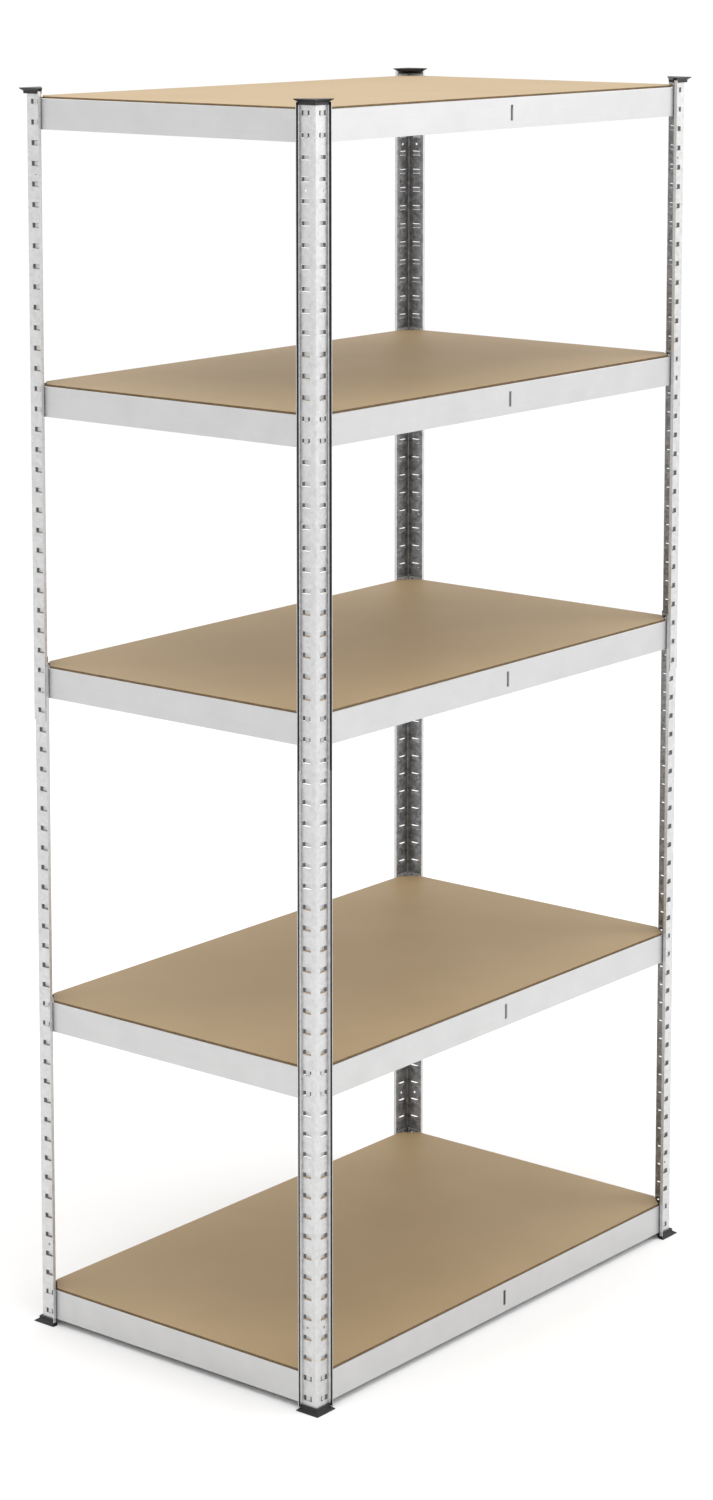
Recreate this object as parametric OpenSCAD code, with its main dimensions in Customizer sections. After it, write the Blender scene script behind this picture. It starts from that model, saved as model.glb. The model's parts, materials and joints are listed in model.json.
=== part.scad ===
/* [Rack] */
// Width across the outer faces of the corner posts
rack_w = 960; // [700:1:1200]
// Depth across the outer faces of the corner posts
rack_d = 580; // [400:1:700]
// Pocket, counted up from the floor, that each level's beams hook into
level_rows = [0, 15, 32, 46, 60]; // [0:1:60]

/* [Corner posts] */
// Height from one pocket to the next
pocket_pitch = 32; // [30:0.5:40]
// Pockets that show in each half of a post
half_pockets = 31; // [31:1:36]
// Pockets of the lower half that slide up inside the upper half
neck_pockets = 3; // [2:1:4]
// Height of the stiffening lip along each leg's free edge
lip_h = 6; // [4:0.5:8]
// Steel sheet of the posts
post_sheet = 1; // [0.7:0.1:1.4]
// Inside radius of the bend along the corner
corner_bend = 2; // [1:0.5:3]
// Inside radius of the bend at the lip
lip_bend = 1; // [0.5:0.5:2]
// Play between sheets that lie against each other
nest_gap = 0.25; // [0.2:0.05:0.5]

/* [Pockets] */
// Width of a pressed pocket
pocket_w = 16; // [13:0.5:20]
// Height of a pressed pocket
pocket_h = 8; // [6:0.5:12]
// Steel of the leg between the post's corner and a pocket
corner_land = 10; // [8:0.5:14]
// Steel of the leg between a pocket and the leg's free edge
edge_land = 5.5; // [4.5:0.5:9]
// Slope at each side of a pocket's loop
loop_ramp = 2.5; // [1.5:0.5:3]
// Sheared slit above and below a loop
loop_slit = 0.9; // [0.2:0.1:1.5]
// Diameter of the fixing hole in each leg
fixing_d = 4; // [2.5:0.5:6]
// Fixing hole's distance from a post's outer end, in pockets from the first one
fixing_row = 3.5; // [1.5:1:8.5]

/* [Beams] */
// Height of a beam
beam_h = 48; // [44:1:60]
// Steel sheet of the beams
beam_sheet = 1; // [0.7:0.1:1.4]
// Distance of a beam's middle below the middle of its two pockets
beam_drop = 2.7; // [0:0.1:4]
// Depth of the ledge below a beam's top edge
ledge_drop = 4; // [3:0.5:8]
// Width of the ledge that carries the board
ledge_w = 15; // [10:1:25]
// Turned-down edge of the ledge
ledge_lip = 6; // [4:1:10]
// Return along a beam's lower edge
foot_flange = 9; // [6:1:14]
// Inside radius of the bend along a beam's lower edge
foot_bend = 1; // [0.5:0.5:2]
// Distance of a beam's end from the outer face of the post
beam_end = 5; // [4.5:0.5:8]
// Play at each side of a hook inside its loop
hook_play = 0.875; // [0.5:0.125:1.5]
// Room above a hook's pocket for lowering the beam into place
hook_lift = 4; // [3:0.5:6]

/* [Support bars] */
// Depth of the bar under the middle of each board
bar_h = 32; // [24:1:36]
// Width of the bar's upper flange
bar_top_w = 22; // [12:1:40]
// Width of the bar's lower flange
bar_foot_w = 12; // [8:1:30]
// Steel sheet of the bar
bar_sheet = 1; // [0.7:0.1:1.5]
// Thickness of the hook at each end of the bar, which is folded double
bar_hook_t = 3; // [1.5:0.5:4]
// Width of the slot left open beside the hook
bar_slot_gap = 2.5; // [0.5:0.5:4]
// Distance that the bar's hook stands out of its slot
bar_hook_out = 0.6; // [0:0.1:1]

/* [Boards] */
// Thickness of a board
board_t = 7; // [5:0.5:12]
// Gap between a board's edge and the beams
board_gap = 1; // [0.5:0.5:3]

/* [Caps and feet] */
// Thickness of a cap's or foot's plate at its rim
plate_t = 1; // [0.8:0.2:3]
// Plate beyond the post's lips
plate_edge = 2; // [1:0.5:4]
// Height over which the plate narrows to the end of the post
seat_h = 4; // [2:0.5:6]
// Height of the collar outside the post and of the plug inside it
collar_h = 4; // [2:0.5:8]
// Thickness of the collar and of the plug
collar_t = 3; // [2:0.5:5]
// Play between the plastic and the steel
plug_gap = 0.2; // [0.1:0.05:0.4]

/* [Hidden] */
$fn = 48;
corners = ["front_left", "front_right", "back_right", "back_left"];
levels = len(level_rows);
// Width of each leg of a post, and its pockets' middle from the corner
leg_w = corner_land + pocket_w + edge_land;
pocket_at = corner_land + pocket_w / 2;
nest = post_sheet + nest_gap;
// Top of a beam's end plate above the upper pocket's middle
plate_over = pocket_h / 2 + hook_lift + 3 * beam_sheet;
// First pocket's middle above the end of the collar, so that beams clear the foot and the cap
end_margin = max(beam_h / 2 + beam_drop - pocket_pitch / 2, plate_over) + 1;
foot_h = plate_t + seat_h;
first_pocket = foot_h + collar_h + end_margin;
last_row = 2 * half_pockets - 1;
joint_z = first_pocket + (half_pockets - 0.5) * pocket_pitch;
neck_top = joint_z + neck_pockets * pocket_pitch - nest;
rack_h = first_pocket + last_row * pocket_pitch + first_pocket;
// Depth of a loop: a nested sheet and a beam's sheet both pass between it and the wall
loop_depth = 2 * nest + beam_sheet + nest_gap;
loop_h = pocket_h - 2 * loop_slit;
loop_wall = 0.6 * post_sheet;
// Hooks stand midway between the pockets of the lower and the upper posts
hook_shift = nest / 2;
hook_w = pocket_w - 2 * (loop_ramp + hook_shift + hook_play);
ledge_z = beam_h - ledge_drop;
// Lower edge of a support bar above the beam's lower edge, the height of its hooks below the
// ledge, and the play around them
bar_low = ledge_z - bar_h;
bar_hook_h = bar_h - ledge_lip - 2;
bar_play = 0.5;
// Board's edge behind the outer face of the posts, and the corner cut off it to clear them
board_in = 2 * nest + 2 * beam_sheet + board_gap;
board_corner = leg_w - board_in;
board_w = rack_w - 2 * board_in;
board_d = rack_d - 2 * board_in;
steel = [0.80, 0.81, 0.82];
steel_beam = [0.86, 0.87, 0.88];
board_tan = [0.76, 0.63, 0.44];
plastic_black = [0.06, 0.06, 0.06];

function row_z(row) = first_pocket + row * pocket_pitch;
// Underside of the beams of level k, counted from 0 at the bottom
function beam_z(k) = row_z(level_rows[k] + 0.5) - beam_drop - beam_h / 2;
// Outer face of level k's beams behind the outer face of the upper posts
function beam_inset(k) = row_z(level_rows[k]) < neck_top ? 2 * nest : nest;

// Puts a piece drawn from a corner at the origin, legs along +X and +Y, at corner 0 to 3
module at_corner(c) {
    x_side = (c == 1 || c == 2) ? 1 : 0;
    y_side = (c == 2 || c == 3) ? 1 : 0;
    translate([(x_side - 0.5) * rack_w, (y_side - 0.5) * rack_d, 0])
        mirror([x_side, 0, 0]) mirror([0, y_side, 0]) children();
}

// Both legs of a corner piece, from the shape drawn for the leg along +X
module both_legs() {
    children();
    mirror([1, -1, 0]) children();
}

module bend(inside, sheet) {
    intersection() {
        difference() {
            circle(inside + sheet);
            circle(inside);
        }
        square(inside + sheet);
    }
}

// Section of a post: an angle with a rounded corner and a lip turned out at each free edge
module post_section() {
    corner_out = corner_bend + post_sheet;
    lip_out = lip_bend + post_sheet;
    translate([corner_out, corner_out]) rotate(180) bend(corner_bend, post_sheet);
    both_legs() {
        translate([corner_out, 0]) square([leg_w - corner_out - lip_out, post_sheet]);
        translate([leg_w - lip_out, -lip_bend]) bend(lip_bend, post_sheet);
        translate([leg_w - post_sheet, -lip_h]) square([post_sheet, lip_h - lip_bend]);
    }
}

// Section of the loop pressed in behind a pocket, in the leg along +X
module loop_section() {
    x0 = pocket_at - pocket_w / 2;
    x1 = pocket_at + pocket_w / 2;
    polygon([
        [x0 - loop_wall, 0], [x0, 0], [x0 + loop_ramp, loop_depth],
        [x1 - loop_ramp, loop_depth], [x1, 0], [x1 + loop_wall, 0],
        [x1 + loop_wall, post_sheet], [x1 - loop_ramp + loop_wall, loop_depth + post_sheet],
        [x0 + loop_ramp - loop_wall, loop_depth + post_sheet], [x0 - loop_wall, post_sheet]
    ]);
}

// One half of a post, with looped pockets on its own rows and, along its neck, open ones
// that the other half's loops pass through
module post_half(z_low, z_high, row_low, row_high, neck_high, hole_row) {
    open_side = loop_wall + nest_gap;
    difference() {
        translate([0, 0, z_low]) linear_extrude(z_high - z_low) post_section();
        for (row = [row_low:row_high])
            both_legs()
                translate([pocket_at - pocket_w / 2, -1, row_z(row) - pocket_h / 2])
                    cube([pocket_w, post_sheet + 2, pocket_h]);
        both_legs()
            translate([pocket_at, post_sheet / 2, row_z(hole_row)])
                rotate([90, 0, 0]) cylinder(d = fixing_d, h = post_sheet + 2, center = true);
        if (neck_high > row_high)
            for (row = [row_high + 1:neck_high])
                both_legs()
                    translate([
                        pocket_at - pocket_w / 2 - nest - open_side, -1,
                        row_z(row) - pocket_h / 2 - nest_gap
                    ])
                        cube([pocket_w + 2 * open_side, post_sheet + 2, pocket_h + 2 * nest_gap]);
    }
    for (row = [row_low:row_high])
        both_legs()
            translate([0, 0, row_z(row) - loop_h / 2]) linear_extrude(loop_h) loop_section();
}

module post_lower(c) {
    color(steel) at_corner(c) translate([nest, nest, 0])
        post_half(foot_h, neck_top, 0, half_pockets - 1, half_pockets + neck_pockets - 1, fixing_row);
}

module post_upper(c) {
    color(steel) at_corner(c)
        post_half(joint_z, rack_h - foot_h, half_pockets, last_row, last_row, last_row - fixing_row);
}

// Square plate from `low` to `high`, with its corner at the rack's inside cut off
module corner_plate(low, high, cut) {
    polygon([[low, low], [high, low], [high, cut], [cut, high], [low, high]]);
}

// Foot under a post whose corner is set in by `shift`, drawn standing on z = 0
module end_piece(shift) {
    reach = leg_w + nest + plate_edge;
    out = lip_h + plate_edge;
    collar_at = shift - plug_gap - collar_t;
    inner = shift + post_sheet + plug_gap;
    plug_in = inner + collar_t;
    plug_end = shift + leg_w - post_sheet - lip_bend;
    hull() {
        linear_extrude(plate_t) corner_plate(-out, reach, shift);
        linear_extrude(foot_h) corner_plate(collar_at, plug_end, plug_in);
    }
    both_legs() {
        translate([collar_at, collar_at, 0]) cube([plug_end - collar_at, collar_t, foot_h + collar_h]);
        translate([inner + corner_bend, inner, 0])
            cube([plug_end - inner - corner_bend, collar_t, foot_h + collar_h]);
    }
}

module foot(c) {
    color(plastic_black) at_corner(c) end_piece(nest);
}

module cap(c) {
    color(plastic_black) at_corner(c) translate([0, 0, rack_h]) mirror([0, 0, 1]) end_piece(0);
}

// Section of a beam, with its outer face on the line x = 0 and its lower edge on y = 0.
// At its ends only the face is left, so that it fits behind the post's leg.
module beam_section(full) {
    foot_out = foot_bend + beam_sheet;
    low = full ? foot_out : 0;
    translate([0, low]) square([beam_sheet, beam_h - beam_sheet - low]);
    translate([beam_sheet, beam_h - beam_sheet]) intersection() {
        circle(beam_sheet);
        translate([-beam_sheet, 0]) square([full ? 2 * beam_sheet : beam_sheet, beam_sheet]);
    }
    if (full) {
        translate([beam_sheet, ledge_z - beam_sheet]) square([beam_sheet, ledge_drop]);
        translate([beam_sheet, ledge_z - beam_sheet]) square([ledge_w, beam_sheet]);
        translate([ledge_w, ledge_z - ledge_lip]) square([beam_sheet, ledge_lip]);
        translate([foot_out, foot_out]) rotate(180) bend(foot_bend, beam_sheet);
        translate([foot_out, 0]) square([foot_flange - foot_out, beam_sheet]);
        translate([foot_flange - beam_sheet, 0]) square([beam_sheet, 3 * beam_sheet]);
    }
}

// Window over one pocket with the hook left hanging in it, cut from a beam's end
module hook_window(row_height) {
    side = pocket_w / 2 + hook_shift + beam_sheet;
    below = pocket_h / 2 + 1;
    above = pocket_h / 2 + hook_lift;
    difference() {
        translate([-side, -1, row_height - below]) cube([2 * side, beam_sheet + 2, above + below]);
        translate([-hook_w / 2, -2, row_height - pocket_h / 2]) cube([hook_w, beam_sheet + 4, above + below]);
    }
}

// Beam of a given span, lower edge on z = 0, outer face on y = 0, running along X from its middle.
// The end plates stand above the beam, hidden by the posts, to carry the upper hooks.
module beam(span) {
    half = span / 2 - beam_end;
    trim = leg_w + 2 * nest + 2;
    plate_l = leg_w - 1 - beam_end;
    rows_mid = beam_h / 2 + beam_drop;
    hook_x = span / 2 - pocket_at - hook_shift;
    difference() {
        union() {
            translate([-half, 0, 0]) rotate([90, 0, 90]) linear_extrude(2 * half) beam_section(false);
            translate([-span / 2 + trim, 0, 0]) rotate([90, 0, 90])
                linear_extrude(span - 2 * trim) beam_section(true);
            for (x = [-half, half - plate_l])
                translate([x, 0, 0])
                    cube([plate_l, beam_sheet, rows_mid + pocket_pitch / 2 + plate_over]);
        }
        for (side = [-1, 1], row = [-0.5, 0.5])
            translate([side * hook_x, 0, 0]) hook_window(rows_mid + row * pocket_pitch);
    }
}

module long_beam(k, back) {
    color(steel_beam) mirror([0, back ? 1 : 0, 0])
        translate([0, -rack_d / 2 + beam_inset(k), beam_z(k)]) difference() {
            beam(rack_w);
            translate([-bar_hook_t / 2 - bar_play, -1, bar_low - bar_play])
                cube([bar_hook_t + bar_play + bar_slot_gap, beam_sheet + 2, bar_hook_h + 2 * bar_play]);
        }
}

module short_beam(k, right) {
    color(steel_beam) mirror([right ? 1 : 0, 0, 0])
        translate([-rack_w / 2 + beam_inset(k), 0, beam_z(k)]) mirror([1, -1, 0]) beam(rack_d);
}

// Folded bar under the middle of a board, its web reaching through both long beams
module support_bar(k) {
    hook_half = rack_d / 2 - beam_inset(k) + bar_hook_out;
    body_half = rack_d / 2 - beam_inset(k) - ledge_w - beam_sheet - 2;
    color(steel) translate([0, 0, beam_z(k)]) {
        translate([-bar_sheet / 2, -body_half, bar_low]) cube([bar_sheet, 2 * body_half, bar_h]);
        translate([-bar_sheet / 2, -body_half, ledge_z - bar_sheet])
            cube([bar_top_w, 2 * body_half, bar_sheet]);
        translate([bar_sheet / 2 - bar_foot_w, -body_half, bar_low])
            cube([bar_foot_w, 2 * body_half, bar_sheet]);
        for (end = [-hook_half, body_half - 2])
            translate([-bar_hook_t / 2, end, bar_low])
                cube([bar_hook_t, hook_half - body_half + 2, bar_hook_h]);
    }
}

module board(k) {
    x = board_w / 2;
    y = board_d / 2;
    cut = board_corner;
    color(board_tan) translate([0, 0, beam_z(k) + ledge_z]) linear_extrude(board_t) polygon([
        [cut - x, -y], [x - cut, -y], [x, cut - y], [x, y - cut],
        [x - cut, y], [cut - x, y], [-x, y - cut], [-x, cut - y]
    ]);
}

for (c = [0:3]) {
    post_lower(c);
    post_upper(c);
    foot(c);
    cap(c);
}
for (k = [0:levels - 1]) {
    long_beam(k, false);
    long_beam(k, true);
    short_beam(k, false);
    short_beam(k, true);
    support_bar(k);
    board(k);
}
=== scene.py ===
"""Looks of a free-standing boltless shelving rack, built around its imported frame."""

import json
import math

import bpy
from mathutils import Euler, Matrix, Vector

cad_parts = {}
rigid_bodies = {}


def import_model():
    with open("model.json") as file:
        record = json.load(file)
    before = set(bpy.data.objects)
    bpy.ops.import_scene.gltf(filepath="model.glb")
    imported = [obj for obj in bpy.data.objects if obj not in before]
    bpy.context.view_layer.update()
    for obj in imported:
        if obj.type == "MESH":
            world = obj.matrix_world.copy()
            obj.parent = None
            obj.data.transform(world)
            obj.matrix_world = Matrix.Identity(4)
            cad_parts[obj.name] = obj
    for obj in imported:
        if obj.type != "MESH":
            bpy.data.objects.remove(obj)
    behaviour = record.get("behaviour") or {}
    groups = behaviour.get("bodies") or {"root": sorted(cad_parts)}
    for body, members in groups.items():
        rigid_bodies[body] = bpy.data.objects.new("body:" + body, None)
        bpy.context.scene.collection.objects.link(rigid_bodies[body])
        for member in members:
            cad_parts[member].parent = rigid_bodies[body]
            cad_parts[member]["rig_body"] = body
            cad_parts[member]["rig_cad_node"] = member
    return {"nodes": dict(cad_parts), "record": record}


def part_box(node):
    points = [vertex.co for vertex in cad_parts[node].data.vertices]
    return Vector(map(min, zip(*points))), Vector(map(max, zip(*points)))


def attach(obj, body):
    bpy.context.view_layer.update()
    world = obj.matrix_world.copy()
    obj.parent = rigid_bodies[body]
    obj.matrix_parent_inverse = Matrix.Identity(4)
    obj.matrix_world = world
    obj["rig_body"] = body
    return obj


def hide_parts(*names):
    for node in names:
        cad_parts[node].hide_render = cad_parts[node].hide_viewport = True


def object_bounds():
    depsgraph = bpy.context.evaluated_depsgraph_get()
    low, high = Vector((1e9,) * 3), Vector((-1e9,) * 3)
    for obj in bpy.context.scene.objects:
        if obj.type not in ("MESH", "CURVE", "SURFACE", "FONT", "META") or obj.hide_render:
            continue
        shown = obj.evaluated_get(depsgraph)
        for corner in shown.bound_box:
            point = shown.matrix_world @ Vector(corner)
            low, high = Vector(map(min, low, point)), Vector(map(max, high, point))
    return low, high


bl_info = {
    "name": "Boltless Shelving Rack",
    "version": (1, 0, 0),
    "blender": (4, 5, 0),
    "location": "3D View > Sidebar > Rack",
    "description": "Finishes the posts, beams, boards, caps and feet of a boltless shelving rack",
    "category": "Object",
}

MM = 0.001
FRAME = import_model()
NODES = FRAME["nodes"]
CAD_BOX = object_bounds()
LEVELS = sum(name.startswith("board_") for name in NODES)
MATH = "ShaderNodeMath"
# Points nearer to each other than this are the same point
SAME_POINT = 0.01 * MM
# Edges whose faces turn by more than this are cut edges, and by less than this no edges at all
CUT_EDGE = math.radians(50)
FLAT_JOIN = math.radians(1)

# Posts. Their flat outer faces along X and Y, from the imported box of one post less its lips
LIP_HEIGHT = 6 * MM
POST_LOW, POST_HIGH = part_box("post_upper_front_right")
FLATS = (POST_HIGH.x - LIP_HEIGHT, -POST_LOW.y - LIP_HEIGHT)
# A lip's sides lie farther outside the flat face than this
LIP_START = 1.4 * MM
# Pockets are pressed in less than this far behind the flat faces
POCKET_DEEP = 8 * MM
# The ramps of the pockets' loops, each value with its reach to both sides: how far behind a flat
# face they are, how far along the leg from the post's corner, and how squarely they face outwards
RAMP_BEHIND = (4.5 * MM, 4 * MM)
RAMP_ALONG = (18.75 * MM, 9.75 * MM)
RAMP_FACING = (0.45, 0.35)
# Shares of a face's normal along an axis: less is edge-on to it, more is a strip's sheared end,
# and more is the top or the underside of a board
EDGE_ON, STRIP_END, BOARD_FACE = 0.2, 0.7, 0.9

# Stage, in metres and watts
FLOOR_SIZE = 300
SKY_STRENGTH = 1.05
SOFTBOX_SIZE, SOFTBOX_WATTS = 3.0, 60
SOFTBOXES = {"key": (3.2, -4.0, 3.2), "top": (-0.6, -0.4, 4.6)}
# Camera: its place and reach in metres, lens and sensor in millimetres, turn from the X axis
# towards Y and dip below level in degrees, and the lens's shift as a share of the frame
CAMERA_PLACE, CAMERA_REACH = (-4.390, -3.528, 2.245), 500
CAMERA_LENS, CAMERA_SENSOR = 84.2, 36.0
CAMERA_TURN, CAMERA_DIP = 38.95, 7.57
CAMERA_SHIFT = -0.24


def named(start):
    """Every CAD node whose name starts so, in order."""
    return [NODES[name] for name in sorted(NODES) if name.startswith(start)]


# ---------------------------------------------------------------- materials


def linear(hex_colour):
    """An sRGB hex colour, such as 'c8ccce', as a linear RGBA value."""
    channels = [int(hex_colour[i : i + 2], 16) / 255 for i in (0, 2, 4)]
    return tuple(c / 12.92 if c <= 0.04045 else ((c + 0.055) / 1.055) ** 2.4 for c in channels) + (1.0,)


def per_metre(size_mm):
    """Pattern scale on Object coordinates, in metres, for a feature of this size in millimetres."""
    return 1000 / size_mm


def add_node(tree, kind, inputs=None, stops=(), **settings):
    """Adds a node. Each input is given a socket to link or a value, by name or number; stops are a
    colour ramp's (position, linear colour) pairs; settings are the node's own properties."""
    node = tree.nodes.new(kind)
    for name, value in settings.items():
        setattr(node, name, value)
    for key, value in (inputs or {}).items():
        if isinstance(value, bpy.types.NodeSocket):
            tree.links.new(value, node.inputs[key])
        else:
            node.inputs[key].default_value = value
    for index, (position, colour) in enumerate(stops):
        elements = node.color_ramp.elements
        element = elements[index] if index < len(elements) else elements.new(position)
        element.position, element.color = position, colour
    return node


def start_material(name, **sockets):
    """A material with one Principled shader; returns it, its tree, its shader and the object's
    own coordinates in metres."""
    material = bpy.data.materials.new(name)
    material.use_nodes = True
    tree = material.node_tree
    shader = tree.nodes["Principled BSDF"]
    for socket, value in sockets.items():
        shader.inputs[socket.replace("_", " ")].default_value = value
    place = add_node(tree, "ShaderNodeTexCoord").outputs["Object"]
    return material, tree, shader, place


def finish_shader(tree, shader, colour, roughness, bump_height, bump_mm, bump_strength):
    """Links the colour, a bump of that depth and, unless it is None, the roughness to the shader."""
    bump = add_node(
        tree,
        "ShaderNodeBump",
        {"Height": bump_height, "Distance": bump_mm * MM, "Strength": bump_strength},
    )
    tree.links.new(colour, shader.inputs["Base Color"])
    tree.links.new(bump.outputs["Normal"], shader.inputs["Normal"])
    if roughness is not None:
        tree.links.new(roughness, shader.inputs["Roughness"])


def spangled_zinc(colours):
    """Hot-dip galvanised sheet: zinc crystals a few millimetres wide that catch the light each in
    their own way, and painted shade on a lip along each free edge, on the pockets' ramps and on the inner
    side."""
    material, tree, shader, place = start_material("hot_dip_galvanised_post_sheet", Metallic=0.78)
    crystals = add_node(
        tree, "ShaderNodeTexVoronoi", {"Vector": place, "Scale": per_metre(5)}
    ).outputs["Color"]
    # The grey cloudiness that the zinc bath leaves over the crystals
    cloud = add_node(
        tree,
        "ShaderNodeTexNoise",
        {"Vector": place, "Scale": per_metre(16), "Detail": 5.0, "Roughness": 0.65},
    ).outputs["Fac"]
    mottle = add_node(tree, "ShaderNodeMix", {0: 0.65, 2: crystals, 3: cloud}).outputs[0]
    outside = add_node(
        tree,
        "ShaderNodeValToRGB",
        {"Fac": mottle},
        ((0.25, colours.zinc_dark), (0.75, colours.zinc_light), (0.5, colours.zinc)),
    ).outputs[0]
    # Painted shade for the inner side of the posts: darker than the outside, with the same mottle
    inside = add_node(
        tree,
        "ShaderNodeValToRGB",
        {"Fac": mottle},
        ((0.3, colours.painted_shade_inside_dark), (0.7, colours.painted_shade_inside)),
    ).outputs[0]
    axes = add_node(tree, "ShaderNodeSeparateXYZ", {0: place}).outputs
    normal = add_node(tree, "ShaderNodeNewGeometry").outputs["True Normal"]
    facing = add_node(tree, "ShaderNodeSeparateXYZ", {0: normal}).outputs
    # How far a face is from the middle of the rack along X and Y, and how much it faces outwards
    away, outward = [], []
    for axis, face in zip(axes[:2], facing[:2]):
        away.append(add_node(tree, MATH, {0: axis}, operation="ABSOLUTE").outputs[0])
        side = add_node(tree, MATH, {0: axis}, operation="SIGN").outputs[0]
        outward.append(add_node(tree, MATH, {0: side, 1: face}, operation="MULTIPLY").outputs[0])
    inner, ramps, lips = [], [], []
    for this, other in ((0, 1), (1, 0)):
        flat, other_flat = FLATS[this], FLATS[other]
        # Painted shade on the inner side: on this leg, and faces back towards the middle
        inner.append((
            ("GREATER_THAN", away[this], flat - POCKET_DEEP),
            ("LESS_THAN", outward[this], -EDGE_ON),
        ))
        # Painted shade on the ramps of the pockets' loops: behind the flat, along the leg's middle,
        # facing aslant
        ramps.append((
            ("COMPARE", away[this], flat - RAMP_BEHIND[0], RAMP_BEHIND[1]),
            ("COMPARE", away[other], other_flat - RAMP_ALONG[0], RAMP_ALONG[1]),
            ("COMPARE", outward[this], *RAMP_FACING),
        ))
        # Painted shade on the lips: outside the flat, on the side that faces the post's corner
        lips.append((
            ("GREATER_THAN", away[this], flat + LIP_START),
            ("GREATER_THAN", outward[other], EDGE_ON),
        ))
    colour = outside
    # Paints shade over the inner side, the pockets' ramps and the lips, each over the colour before it
    for legs, finish in ((inner, inside), (ramps, colours.painted_shade_ramp), (lips, colours.painted_shade_lip)):
        for tests in legs:
            mask = 1.0
            for operation, *values in tests:
                inputs = dict(enumerate(values))
                passed = add_node(tree, MATH, inputs, operation=operation).outputs[0]
                mask = add_node(tree, MATH, {0: mask, 1: passed}, operation="MULTIPLY").outputs[0]
            colour = add_node(
                tree, "ShaderNodeMix", {0: mask, 6: colour, 7: finish}, data_type="RGBA"
            ).outputs[2]
    roughness = add_node(
        tree, "ShaderNodeMapRange", {"Value": crystals, "To Min": 0.34, "To Max": 0.5}
    ).outputs[0]
    finish_shader(tree, shader, colour, roughness, mottle, bump_mm=0.1, bump_strength=0.06)
    return material


def rolled_zinc(name, colours, sheared_ends):
    """Galvanised strip, skin-passed between rollers: almost no spangle, satin, with faint lines
    along the strip that the rollers left. Ends cut by shearing across Y show bare steel, painted darker
    still as shade."""
    material, tree, shader, place = start_material(name, Metallic=0.72)
    # Roller lines 2 mm apart and 50 times as long; real ones are finer and would not show
    along = add_node(
        tree, "ShaderNodeMapping", {"Vector": place, "Scale": (0.02, 0.02, 1.0)}
    ).outputs[0]
    lines = add_node(
        tree, "ShaderNodeTexNoise", {"Vector": along, "Scale": per_metre(2), "Detail": 3.0}
    ).outputs["Fac"]
    cloud = add_node(
        tree, "ShaderNodeTexNoise", {"Vector": place, "Scale": per_metre(45), "Detail": 4.0}
    ).outputs["Fac"]
    tone = add_node(tree, "ShaderNodeMix", {0: 0.6, 2: lines, 3: cloud}).outputs[0]
    colour = add_node(
        tree,
        "ShaderNodeValToRGB",
        {"Fac": tone},
        ((0.3, colours.strip_dark), (0.7, colours.strip)),
    ).outputs[0]
    # Ends of the bars cut across Y: bare steel, darkened further as painted shade
    if sheared_ends:
        normal = add_node(tree, "ShaderNodeNewGeometry").outputs["True Normal"]
        facing = add_node(tree, "ShaderNodeSeparateXYZ", {0: normal}).outputs["Y"]
        endwise = add_node(tree, MATH, {0: facing}, operation="ABSOLUTE").outputs[0]
        is_end = add_node(
            tree, MATH, {0: endwise, 1: STRIP_END}, operation="GREATER_THAN"
        ).outputs[0]
        colour = add_node(
            tree, "ShaderNodeMix", {0: is_end, 6: colour, 7: colours.bare_end_shade}, data_type="RGBA"
        ).outputs[2]
    roughness = add_node(
        tree, "ShaderNodeMapRange", {"Value": lines, "To Min": 0.34, "To Max": 0.46}
    ).outputs[0]
    finish_shader(tree, shader, colour, roughness, lines, bump_mm=0.05, bump_strength=0.06)
    return material


def fibreboard_face(colours):
    """Medium-density fibreboard, sanded: even tan, matt, with short darker and paler wood fibres."""
    material, tree, shader, place = start_material(
        "sanded_fibreboard_face", Roughness=0.55, Specular_IOR_Level=0.35
    )
    fibres = add_node(
        tree,
        "ShaderNodeTexNoise",
        {"Vector": place, "Scale": per_metre(3), "Detail": 6.0, "Roughness": 0.7},
    ).outputs["Fac"]
    drift = add_node(
        tree, "ShaderNodeTexNoise", {"Vector": place, "Scale": per_metre(180), "Detail": 2.0}
    ).outputs["Fac"]
    tone = add_node(tree, "ShaderNodeMix", {0: 0.5, 2: fibres, 3: drift}).outputs[0]
    colour = add_node(
        tree,
        "ShaderNodeValToRGB",
        {"Fac": tone},
        ((0.3, colours.board_dark), (0.7, colours.board)),
    ).outputs[0]
    finish_shader(tree, shader, colour, None, fibres, bump_mm=0.1, bump_strength=0.1)
    return material


def fibreboard_edge(colours):
    """Sawn edge of fibreboard: browner than the face, rough, in thin level layers."""
    material, tree, shader, place = start_material("sawn_fibreboard_edge", Roughness=0.85)
    # Layers 1.5 mm thick, drawn out to about 7 times that along the board
    level = add_node(
        tree, "ShaderNodeMapping", {"Vector": place, "Scale": (0.15, 0.15, 1.0)}
    ).outputs[0]
    layers = add_node(
        tree, "ShaderNodeTexNoise", {"Vector": level, "Scale": per_metre(1.5), "Detail": 4.0}
    ).outputs["Fac"]
    colour = add_node(
        tree,
        "ShaderNodeValToRGB",
        {"Fac": layers},
        ((0.3, colours.edge_dark), (0.7, colours.edge)),
    ).outputs[0]
    finish_shader(tree, shader, colour, None, layers, bump_mm=0.2, bump_strength=0.25)
    return material


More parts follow.
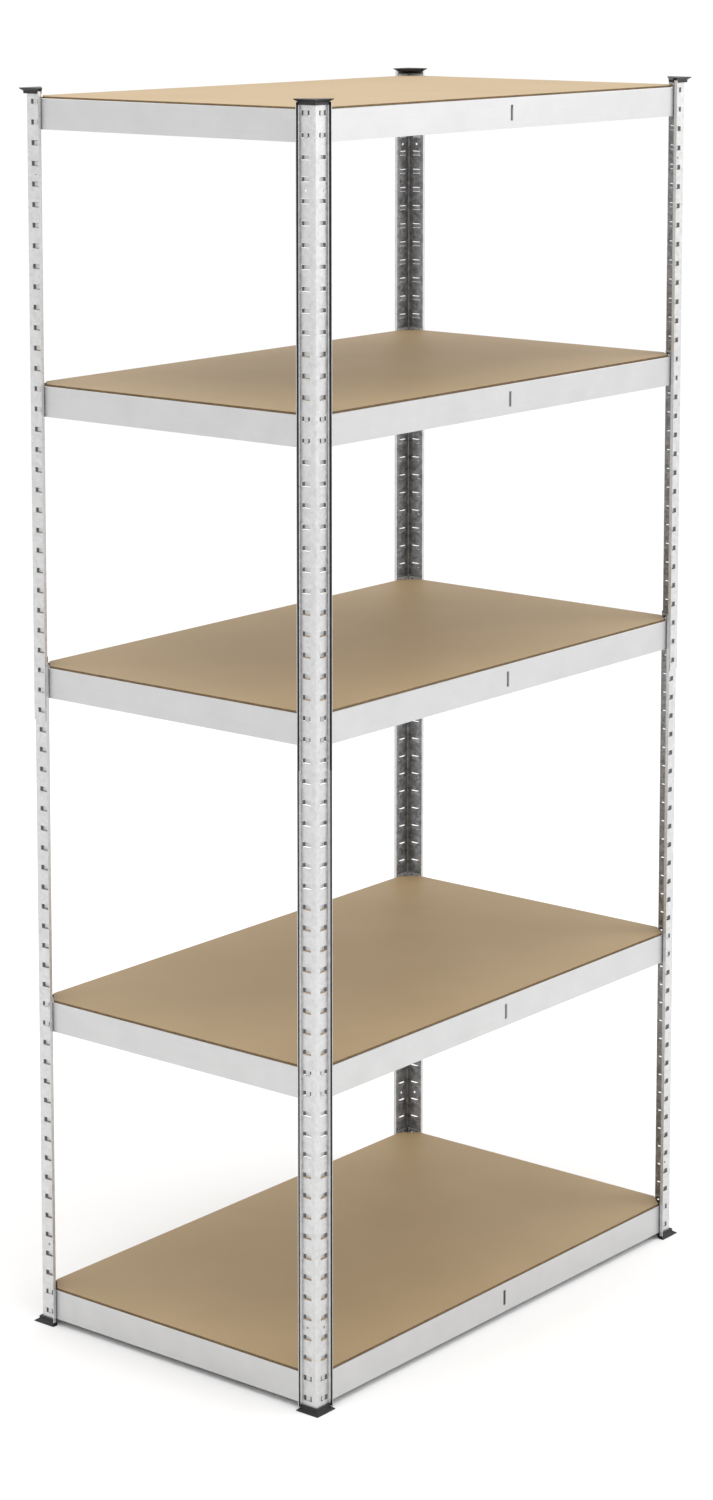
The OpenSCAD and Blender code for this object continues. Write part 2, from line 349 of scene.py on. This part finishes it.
def moulded_plastic(colours):
    """Black polypropylene, injection moulded in a finely eroded tool: satin with a soft grain."""
    material, tree, shader, place = start_material("moulded_black_polypropylene", IOR=1.49)
    # Tool grain drawn 0.8 mm wide, coarser than the real one, so that it shows
    grain = add_node(
        tree, "ShaderNodeTexNoise", {"Vector": place, "Scale": per_metre(0.8), "Detail": 2.0}
    ).outputs["Fac"]
    colour = add_node(
        tree,
        "ShaderNodeValToRGB",
        {"Fac": grain},
        ((0.3, colours.plastic_dark), (0.7, colours.plastic)),
    ).outputs[0]
    roughness = add_node(
        tree, "ShaderNodeMapRange", {"Value": grain, "To Min": 0.38, "To Max": 0.53}
    ).outputs[0]
    finish_shader(tree, shader, colour, roughness, grain, bump_mm=0.05, bump_strength=0.2)
    return material


def finish_nodes(objects, material):
    """Gives CAD nodes a material in place of their own."""
    for piece in objects:
        for slot in piece.material_slots:
            slot.material = material


# ------------------------------------------------------------- modelling


def deselect_all():
    """Leaves edit mode, if in it, with nothing selected."""
    if bpy.context.object and bpy.context.object.mode != "OBJECT":
        bpy.ops.object.mode_set(mode="OBJECT")
    bpy.ops.object.select_all(action="DESELECT")


def is_upright(mesh, edge):
    """Whether an edge of the mesh stands upright."""
    a, b = (mesh.vertices[i].co for i in edge.vertices)
    return abs(a.x - b.x) < SAME_POINT and abs(a.y - b.y) < SAME_POINT


def pick_edges(piece, upright):
    """Enters edit mode with the piece's upright edges selected, or with all its others."""
    bpy.ops.object.mode_set(mode="EDIT")
    bpy.ops.mesh.select_mode(type="EDGE")
    bpy.ops.mesh.select_all(action="DESELECT")
    bpy.ops.object.mode_set(mode="OBJECT")
    for edge in piece.data.edges:
        edge.select = is_upright(piece.data, edge) == upright
    bpy.ops.object.mode_set(mode="EDIT")


def place_in_mesh(piece):
    """Puts the piece's place, turn and size into its mesh, and its object at the origin."""
    piece.data.transform(piece.matrix_world)
    piece.matrix_world = Matrix.Identity(4)


def copy_piece(piece, name, shift):
    """A copy with its own mesh, moved by shift in its mesh."""
    deselect_all()
    piece.select_set(True)
    bpy.context.view_layer.objects.active = piece
    bpy.ops.object.duplicate(linked=False)
    copy = bpy.context.object
    copy.name = copy.data.name = name
    copy.data.transform(Matrix.Translation(shift))
    return copy


def board_corner_cut(node):
    """Length of the corner cut off a board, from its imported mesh."""
    low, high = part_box(node)
    front = [v.co.x for v in NODES[node].data.vertices if abs(v.co.y - low.y) < SAME_POINT]
    return high.x - max(front)


def body_with(node):
    """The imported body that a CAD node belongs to."""
    for body, members in FRAME["record"]["behaviour"]["bodies"].items():
        if node in members:
            return body
    raise ValueError(f"no body holds {node}")


# ------------------------------------------------------------- properties


class RackSizes(bpy.types.PropertyGroup):
    """Roundings of the pieces' edges"""

    board_round: bpy.props.FloatProperty(
        name="Board edge rounding", description="Sanded rounding along a board's edges",
        default=0.5 * MM, min=0.1 * MM, max=2 * MM, unit="LENGTH", precision=5,
    )
    plastic_round: bpy.props.FloatProperty(
        name="Plastic edge rounding", description="Rounding along the edges of caps and feet",
        default=0.35 * MM, min=0.1 * MM, max=0.8 * MM, unit="LENGTH", precision=5,
    )
    sheet_round: bpy.props.FloatProperty(
        name="Sheet edge rounding", description="Rounding along the cut edges of the beams",
        default=0.2 * MM, min=0.05 * MM, max=0.4 * MM, unit="LENGTH", precision=5,
    )


def colour_property(name, description, hex_colour):
    """A colour with this sRGB hex value as its default."""
    return bpy.props.FloatVectorProperty(
        name=name, description=description,
        default=linear(hex_colour), size=4, min=0, max=1, subtype="COLOR",
    )


class RackColours(bpy.types.PropertyGroup):
    """Colours of the rack's finishes, and of the shade painted on the posts and the bars' ends"""

    zinc: colour_property("Zinc", "Usual tone of the posts", "cfcfcf")
    zinc_light: colour_property("Light zinc", "Brightest crystals of the posts", "d9d9d9")
    zinc_dark: colour_property("Dark zinc", "Dullest crystals of the posts", "c3c3c3")
    # Painted shade on the lip along each free edge of a post, where the fold lies in shadow
    painted_shade_lip: colour_property("Post lip shade", "Painted shade on the lip along each free edge of a post", "343536")
    # Painted shade on the sloping ramps at the ends of the pockets
    painted_shade_ramp: colour_property("Pocket ramp shade", "Painted shade on the ramps at the ends of the pockets", "6c6d6f")
    # Painted shade on the inner side of the posts, darker than the outside
    painted_shade_inside: colour_property("Post inside shade", "Painted shade on the inner side of the posts", "a5a6a8")
    painted_shade_inside_dark: colour_property("Post inside shade, dark", "Dullest crystals in the painted shade on the inner side", "6d6e70")
    strip: colour_property("Beam", "Usual tone of the beams", "cbcbcb")
    strip_dark: colour_property("Dark beam", "Dullest tone of the beams", "c3c3c3")
    # Bare steel at the bars' cut ends, darkened further as painted shade
    bare_end_shade: colour_property("Sheared end and shade", "Bare steel with painted shade at the ends of the support bars", "3c3d3e")
    board: colour_property("Board", "Paler tone of the boards' faces", "ad9571")
    board_dark: colour_property("Dark board", "Darker tone of the boards' faces", "a38c67")
    edge: colour_property("Board edge", "Paler tone of the sawn edges", "87704f")
    edge_dark: colour_property("Dark board edge", "Darker tone of the sawn edges", "66523a")
    plastic: colour_property("Plastic", "Paler tone of the caps and feet", "121213")
    plastic_dark: colour_property("Dark plastic", "Darker tone of the caps and feet", "0a0a0b")


# -------------------------------------------------------------- operators


class RACK_OT_posts(bpy.types.Operator):
    """Finish the corner posts in spangled zinc, with painted shade on the lips, the pockets' ramps and
    the inner side
    """

    bl_idname = "rack.posts"
    bl_label = "Posts"

    def execute(self, context):
        finish_nodes(named("post_"), spangled_zinc(context.scene.rack_colours))
        return {"FINISHED"}


class RACK_OT_beams(bpy.types.Operator):
    """Finish the beams and support bars in rolled zinc, with soft cut edges and painted shade on the
    bars' ends
    """

    bl_idname = "rack.beams"
    bl_label = "Beams and support bars"

    def execute(self, context):
        colours = context.scene.rack_colours
        beams, bars = named("beam_"), named("support_bar_")
        finish_nodes(beams, rolled_zinc("skin_passed_galvanised_beam_strip", colours, False))
        finish_nodes(bars, rolled_zinc("sheared_galvanised_bar_strip", colours, True))
        for piece in beams + bars:
            weld = piece.modifiers.new("weld", "WELD")
            weld.merge_threshold = SAME_POINT
            soften = piece.modifiers.new("soften", "BEVEL")
            soften.width = context.scene.rack_sizes.sheet_round
            soften.segments = 1
            soften.limit_method = "ANGLE"
            soften.angle_limit = CUT_EDGE
        return {"FINISHED"}


class RACK_OT_boards(bpy.types.Operator):
    """Model the fibreboard shelves: cut corners, sanded edges, browner sawn sides"""

    bl_idname = "rack.boards"
    bl_label = "Boards"

    def execute(self, context):
        sizes, colours = context.scene.rack_sizes, context.scene.rack_colours
        face, edge = fibreboard_face(colours), fibreboard_edge(colours)
        low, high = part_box("board_1")
        deselect_all()
        bpy.ops.mesh.primitive_cube_add(size=1, location=(low + high) / 2, scale=high - low)
        board = bpy.context.object
        board.name = board.data.name = "shelf_board_1"
        place_in_mesh(board)
        pick_edges(board, upright=True)
        bpy.ops.mesh.bevel(offset=board_corner_cut("board_1"), segments=1, affect="EDGES")
        pick_edges(board, upright=False)
        bpy.ops.mesh.bevel(offset=sizes.board_round, segments=2, affect="EDGES")
        bpy.ops.object.mode_set(mode="OBJECT")
        board.data.materials.append(face)
        board.data.materials.append(edge)
        for polygon in board.data.polygons:
            polygon.material_index = 0 if abs(polygon.normal.z) > BOARD_FACE else 1
        for level in range(1, LEVELS + 1):
            node = f"board_{level}"
            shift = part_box(node)[0] - low
            piece = board if level == 1 else copy_piece(board, f"shelf_{node}", shift)
            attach(piece, body_with(node))
            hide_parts(node)
        return {"FINISHED"}


class RACK_OT_ends(bpy.types.Operator):
    """Model the moulded caps and feet, with rounded edges"""

    bl_idname = "rack.ends"
    bl_label = "Caps and feet"

    def execute(self, context):
        rounding = context.scene.rack_sizes.plastic_round
        plastic = moulded_plastic(context.scene.rack_colours)
        for node in named("foot_") + named("cap_"):
            deselect_all()
            piece = node.copy()
            piece.data = node.data.copy()
            piece.name = piece.data.name = f"moulded_{node.name}"
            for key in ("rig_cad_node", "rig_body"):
                del piece[key]
            piece.parent = None
            context.scene.collection.objects.link(piece)
            piece.select_set(True)
            context.view_layer.objects.active = piece
            bpy.ops.object.mode_set(mode="EDIT")
            bpy.ops.mesh.select_all(action="SELECT")
            bpy.ops.mesh.remove_doubles(threshold=SAME_POINT)
            bpy.ops.mesh.dissolve_limited(angle_limit=FLAT_JOIN)
            bpy.ops.mesh.select_all(action="SELECT")
            bpy.ops.mesh.bevel(offset=rounding, segments=2, affect="EDGES")
            bpy.ops.object.mode_set(mode="OBJECT")
            piece.data.materials.clear()
            piece.data.materials.append(plastic)
            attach(piece, body_with(node.name))
            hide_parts(node.name)
        return {"FINISHED"}


def add_softbox(name, place):
    """A square area light that faces the middle of the rack."""
    data = bpy.data.lights.new(name, "AREA")
    data.shape, data.size, data.energy = "SQUARE", SOFTBOX_SIZE, SOFTBOX_WATTS
    light = bpy.data.objects.new(name, data)
    light.location = place
    middle = (CAD_BOX[0] + CAD_BOX[1]) / 2
    light.rotation_euler = (middle - Vector(place)).to_track_quat("-Z", "Y").to_euler()
    bpy.context.scene.collection.objects.link(light)


class RACK_OT_stage(bpy.types.Operator):
    """Make the pale floor, the soft lights and the camera"""

    bl_idname = "rack.stage"
    bl_label = "Stage"

    def execute(self, context):
        scene = context.scene
        deselect_all()
        bpy.ops.mesh.primitive_plane_add(size=FLOOR_SIZE, location=(0, 0, CAD_BOX[0].z))
        floor = bpy.context.object
        floor.name = "studio_floor"
        # Uncoated paper: even and matt, with no pattern
        paper = start_material(
            "matt_white_studio_paper", Roughness=0.9, Base_Color=linear("fcfcfc")
        )[0]
        floor.data.materials.append(paper)
        world = bpy.data.worlds.new("studio")
        world.use_nodes = True
        sky = world.node_tree.nodes["Background"].inputs
        sky["Color"].default_value = linear("ffffff")
        sky["Strength"].default_value = SKY_STRENGTH
        scene.world = world
        for name, place in SOFTBOXES.items():
            add_softbox(name, place)
        data = bpy.data.cameras.new("camera")
        data.lens, data.sensor_width, data.sensor_fit = CAMERA_LENS, CAMERA_SENSOR, "AUTO"
        data.shift_y = CAMERA_SHIFT
        data.clip_end = CAMERA_REACH
        camera = bpy.data.objects.new("camera", data)
        scene.collection.objects.link(camera)
        camera.location = CAMERA_PLACE
        camera.rotation_euler = Euler(
            (math.radians(90 - CAMERA_DIP), 0, math.radians(CAMERA_TURN - 90)), "XYZ"
        )
        scene.camera = camera
        scene.view_settings.view_transform = "Standard"
        return {"FINISHED"}


class RACK_PT_panel(bpy.types.Panel):
    """Rack tools"""

    bl_idname = "RACK_PT_panel"
    bl_label = "Boltless rack"
    bl_space_type = "VIEW_3D"
    bl_region_type = "UI"
    bl_category = "Rack"

    def draw(self, context):
        for operator in OPERATORS:
            self.layout.operator(operator.bl_idname)
        for group in (context.scene.rack_sizes, context.scene.rack_colours):
            for name in group.bl_rna.properties.keys():
                if name not in ("rna_type", "name"):
                    self.layout.prop(group, name)


OPERATORS = (RACK_OT_posts, RACK_OT_beams, RACK_OT_boards, RACK_OT_ends, RACK_OT_stage)
CLASSES = (RackSizes, RackColours) + OPERATORS + (RACK_PT_panel,)


def register():
    for each in CLASSES:
        bpy.utils.register_class(each)
    bpy.types.Scene.rack_sizes = bpy.props.PointerProperty(type=RackSizes)
    bpy.types.Scene.rack_colours = bpy.props.PointerProperty(type=RackColours)


def unregister():
    del bpy.types.Scene.rack_colours
    del bpy.types.Scene.rack_sizes
    for each in reversed(CLASSES):
        bpy.utils.unregister_class(each)


def main():
    register()
    bpy.ops.rack.posts()
    bpy.ops.rack.beams()
    bpy.ops.rack.boards()
    bpy.ops.rack.ends()
    bpy.ops.rack.stage()


if __name__ == "__main__":
    main()
